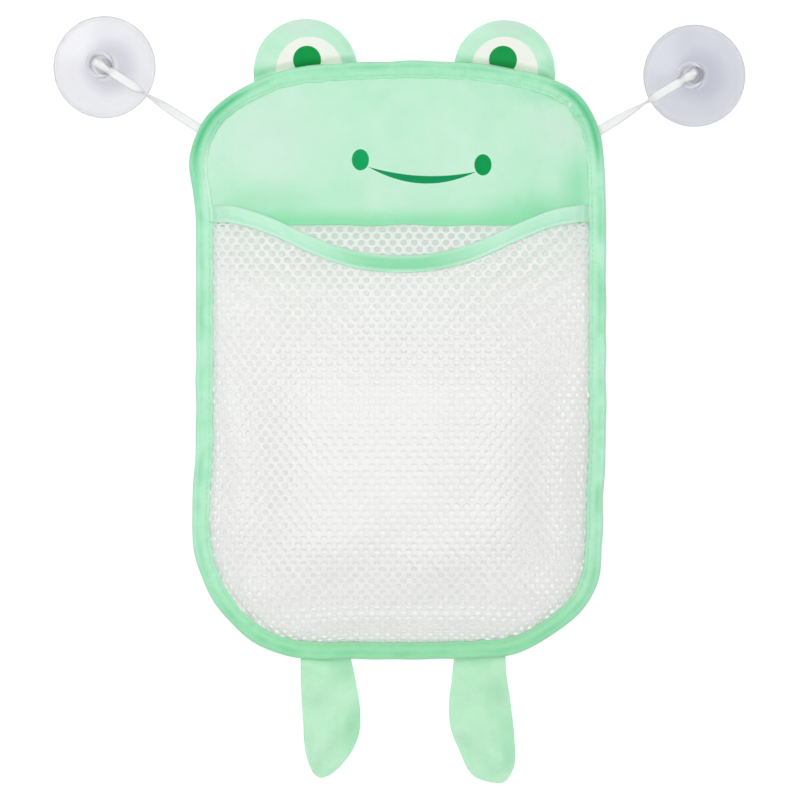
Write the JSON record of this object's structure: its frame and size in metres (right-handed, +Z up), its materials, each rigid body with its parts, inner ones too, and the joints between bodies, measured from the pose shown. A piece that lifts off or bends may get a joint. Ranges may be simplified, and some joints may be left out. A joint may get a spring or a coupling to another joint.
{
  "type": "bath toy organizer",
  "caption": "Hanging mesh pocket with a fabric frog face, bound edges, eye flaps and legs, held to a wall by elastic straps on suction cups.",
  "frame": {"origin": "on the wall, midway between the centres of the two suction cups", "axes": "+Z up along the height, +Y into the wall, +X to the right as the wall is faced"},
  "size_m": [0.3726, 0.0663, 0.4125],
  "materials": {
    "cup": "clear soft PVC, smooth and glossy",
    "strap": "white flat braided elastic",
    "binding": "mint woven tape, matte, stitched",
    "face": "mint woven polyester, matte, printed",
    "net": "white knitted polyester net, soft",
    "pad": "thin white foam interlining",
    "leg": "mint woven polyester, matte"
  },
  "bodies": {
    "wall_cups": {"left_suction_cup": "cup", "right_suction_cup": "cup"},
    "bag": {"edge_binding": "binding", "face_panel": "face", "back_net": "net", "front_net": "net", "left_strap": "strap", "right_strap": "strap"},
    "pocket_rim": {"pocket_rim_binding": "binding"},
    "left_eye": {"left_eye_front": "face", "left_eye_back": "face", "left_eye_pad": "pad"},
    "right_eye": {"right_eye_front": "face", "right_eye_back": "face", "right_eye_pad": "pad"},
    "left_leg": {"left_leg_front": "leg", "left_leg_back": "leg"},
    "right_leg": {"right_leg_front": "leg", "right_leg_back": "leg"}
  },
  "joints": [
    {"name": "bag_swing", "type": "hinge", "parent": "wall_cups", "child": "bag", "pos_m": [-0.0008, -0.0162, 0], "axis": [-0.9999, 0, 0.0145], "range_deg": [0, 30], "deforming": ["left_strap", "right_strap"]},
    {"name": "pocket_mouth", "type": "hinge", "parent": "bag", "child": "pocket_rim", "pos_m": [0, -0.02017, -0.0726], "axis": [-1, 0, 0], "range_deg": [0, 40], "stiffness_Nm_per_rad": 0.02, "deforming": ["front_net"]},
    {"name": "left_eye_bend", "type": "hinge", "parent": "bag", "child": "left_eye", "pos_m": [-0.0512, -0.015, 0.00313], "axis": [0.988, 0, 0.1545], "range_deg": [-30, 60], "stiffness_Nm_per_rad": 0.02},
    {"name": "right_eye_bend", "type": "hinge", "parent": "bag", "child": "right_eye", "pos_m": [0.05519, -0.015, 0.00256], "axis": [0.9831, 0, -0.183], "range_deg": [-30, 60], "stiffness_Nm_per_rad": 0.02},
    {"name": "left_leg_swing", "type": "hinge", "parent": "bag", "child": "left_leg", "pos_m": [-0.041, -0.015, -0.31571], "axis": [-0.9948, 0, 0.1018], "range_deg": [-10, 80]},
    {"name": "right_leg_swing", "type": "hinge", "parent": "bag", "child": "right_leg", "pos_m": [0.0426, -0.015, -0.31555], "axis": [-0.9938, 0, -0.111], "range_deg": [-10, 80]}
  ]
}
